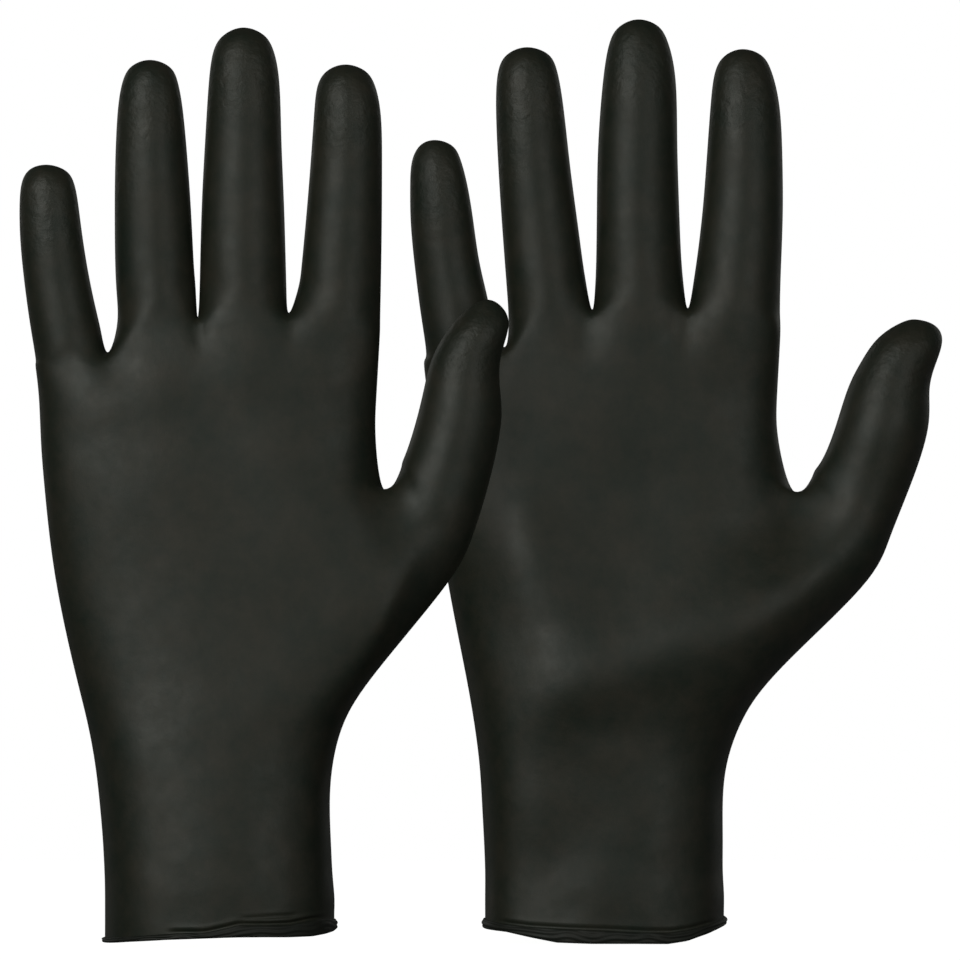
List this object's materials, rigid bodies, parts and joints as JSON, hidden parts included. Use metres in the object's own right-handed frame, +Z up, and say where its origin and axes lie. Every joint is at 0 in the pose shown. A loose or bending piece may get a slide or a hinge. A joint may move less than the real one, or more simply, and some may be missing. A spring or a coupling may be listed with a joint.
{
  "type": "pair of disposable gloves",
  "caption": "Pair of black nitrile disposable gloves, filled out with fingers up: each has a palm, cuff with rolled bead, thumb and fingers that bend at their roots.",
  "frame": {"origin": "the middle of the left glove's cuff opening, level with its rolled bead", "axes": "+Z up from the cuffs to the fingertips; +X from the left glove to the right glove, the side of both thumbs; -Y towards a viewer who sees the back of the left glove and the palm of the right glove"},
  "size_m": [0.243, 0.078, 0.2436],
  "materials": {
    "film": "satin-matt black nitrile, finely textured at the fingertips",
    "bead": "satin-matt black nitrile, rolled"
  },
  "bodies": {
    "left_glove": {"left_palm": "film", "left_back": "film", "left_cuff": "film", "left_cuff_bead": "bead", "left_thumb_root": "film", "left_index_root": "film", "left_middle_root": "film", "left_ring_root": "film", "left_little_root": "film"},
    "left_thumb": {"left_thumb_sleeve": "film"},
    "left_index": {"left_index_sleeve": "film"},
    "left_middle": {"left_middle_sleeve": "film"},
    "left_ring": {"left_ring_sleeve": "film"},
    "left_little": {"left_little_sleeve": "film"},
    "right_glove": {"right_palm": "film", "right_back": "film", "right_cuff": "film", "right_cuff_bead": "bead", "right_thumb_root": "film", "right_index_root": "film", "right_middle_root": "film", "right_ring_root": "film", "right_little_root": "film"},
    "right_thumb": {"right_thumb_sleeve": "film"},
    "right_index": {"right_index_sleeve": "film"},
    "right_middle": {"right_middle_sleeve": "film"},
    "right_ring": {"right_ring_sleeve": "film"},
    "right_little": {"right_little_sleeve": "film"}
  },
  "joints": [
    {"name": "right_glove_apart", "type": "slide", "parent": "left_glove", "child": "right_glove", "axis": [1, 0, 0], "range_m": [0, 0.12]},
    {"name": "left_thumb_bend", "type": "hinge", "parent": "left_glove", "child": "left_thumb", "pos_m": [0.06062, 0, 0.12975], "axis": [0, -1, 0], "range_deg": [-25, 12], "stiffness_Nm_per_rad": 0.002, "deforming": ["left_thumb_root"]},
    {"name": "left_index_bend", "type": "hinge", "parent": "left_glove", "child": "left_index", "pos_m": [0.0308, 0.00598, 0.17075], "axis": [-0.9956, 0, 0.0937], "range_deg": [-10, 90], "stiffness_Nm_per_rad": 0.002, "deforming": ["left_index_root"]},
    {"name": "left_middle_bend", "type": "hinge", "parent": "left_glove", "child": "left_middle", "pos_m": [0.0055, 0.00649, 0.174], "axis": [-1, 0, 0], "range_deg": [-10, 90], "stiffness_Nm_per_rad": 0.002, "deforming": ["left_middle_root"]},
    {"name": "left_ring_bend", "type": "hinge", "parent": "left_glove", "child": "left_ring", "pos_m": [-0.0175, 0.00565, 0.1705], "axis": [-0.9998, 0, -0.0222], "range_deg": [-10, 90], "stiffness_Nm_per_rad": 0.002, "deforming": ["left_ring_root"]},
    {"name": "left_little_bend", "type": "hinge", "parent": "left_glove", "child": "left_little", "pos_m": [-0.0411, 0.00451, 0.1595], "axis": [-0.9923, 0, -0.124], "range_deg": [-10, 90], "stiffness_Nm_per_rad": 0.002, "deforming": ["left_little_root"]},
    {"name": "right_thumb_bend", "type": "hinge", "parent": "right_glove", "child": "right_thumb", "pos_m": [0.17201, 0.028, 0.12847], "axis": [0, -1, 0], "range_deg": [-25, 12], "stiffness_Nm_per_rad": 0.002, "deforming": ["right_thumb_root"]},
    {"name": "right_index_bend", "type": "hinge", "parent": "right_glove", "child": "right_index", "pos_m": [0.13586, 0.02136, 0.17375], "axis": [0.995, 0, -0.0995], "range_deg": [-10, 90], "stiffness_Nm_per_rad": 0.002, "deforming": ["right_index_root"]},
    {"name": "right_middle_bend", "type": "hinge", "parent": "right_glove", "child": "right_middle", "pos_m": [0.10983, 0.02133, 0.17602], "axis": [0.9995, 0, 0.0316], "range_deg": [-10, 90], "stiffness_Nm_per_rad": 0.002, "deforming": ["right_middle_root"]},
    {"name": "right_ring_bend", "type": "hinge", "parent": "right_glove", "child": "right_ring", "pos_m": [0.08516, 0.02222, 0.17199], "axis": [0.9945, 0, 0.1047], "range_deg": [-10, 90], "stiffness_Nm_per_rad": 0.002, "deforming": ["right_ring_root"]},
    {"name": "right_little_bend", "type": "hinge", "parent": "right_glove", "child": "right_little", "pos_m": [0.06175, 0.02342, 0.16164], "axis": [0.9881, 0, 0.1537], "range_deg": [-10, 50], "stiffness_Nm_per_rad": 0.002, "deforming": ["right_little_root"]}
  ]
}
